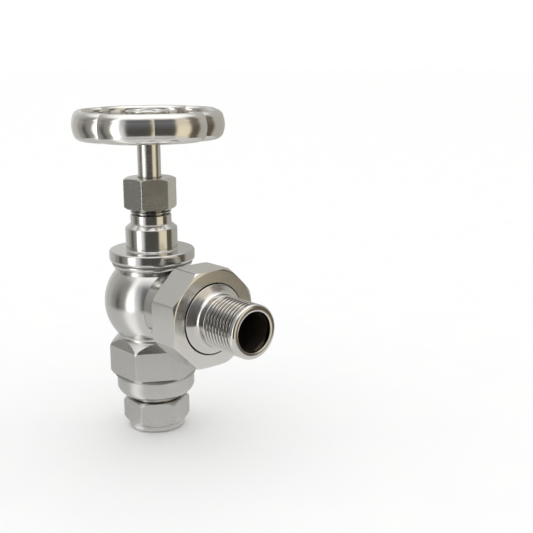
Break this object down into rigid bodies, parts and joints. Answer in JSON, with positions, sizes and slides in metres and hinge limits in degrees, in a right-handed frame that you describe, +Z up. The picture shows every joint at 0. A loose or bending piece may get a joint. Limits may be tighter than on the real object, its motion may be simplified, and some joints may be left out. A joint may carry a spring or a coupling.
{
  "type": "manual angle radiator valve",
  "caption": "Angle radiator valve with a lobed handwheel, union tail for the radiator and compression nut for the pipe.",
  "frame": {"origin": "centre of the pipe socket's mouth, at the bottom of the compression nut", "axes": "+Z up along the spindle, +X along the radiator tail, -Z the way the pipe leaves"},
  "size_m": [0.0949, 0.0618, 0.1327],
  "materials": {
    "satin_nickel": "satin brushed nickel plating on brass",
    "polished_nickel": "polished nickel plating on brass",
    "nickel_tail": "bright turned nickel plating on brass",
    "bare_brass": "turned brass, unplated",
    "stainless": "bright stainless steel",
    "packing": "graphite packing, matt",
    "rubber": "moulded rubber, matt",
    "fibre": "pressed grey fibre"
  },
  "bodies": {
    "valve": {"valve_body": "satin_nickel", "bonnet": "polished_nickel", "bonnet_gasket": "fibre", "packing_washer": "bare_brass", "packing_rings": "packing", "gland_follower": "bare_brass", "gland_nut": "satin_nickel", "compression_nut": "satin_nickel", "olive": "bare_brass", "union_nut": "satin_nickel", "union_tail": "nickel_tail", "union_seal": "rubber"},
    "closing_disc": {"disc_holder": "bare_brass", "seat_washer": "rubber", "washer_nut": "bare_brass", "retaining_clip": "stainless"},
    "spindle_and_wheel": {"spindle": "satin_nickel", "handwheel": "polished_nickel", "hub_plate": "polished_nickel", "handwheel_screw": "stainless"}
  },
  "joints": [
    {"name": "disc_lift", "type": "slide", "parent": "valve", "child": "closing_disc", "axis": [0, 0, 1], "range_m": [0, 0.00525]},
    {"name": "spindle_turn", "type": "hinge", "parent": "closing_disc", "child": "spindle_and_wheel", "pos_m": [0, 0, 0.09], "axis": [0, 0, 1], "range_deg": [0, 1260]}
  ],
  "couplings": [
    {"joint": "disc_lift", "follows": "spindle_turn", "m_per_rad": 0.00023873}
  ]
}
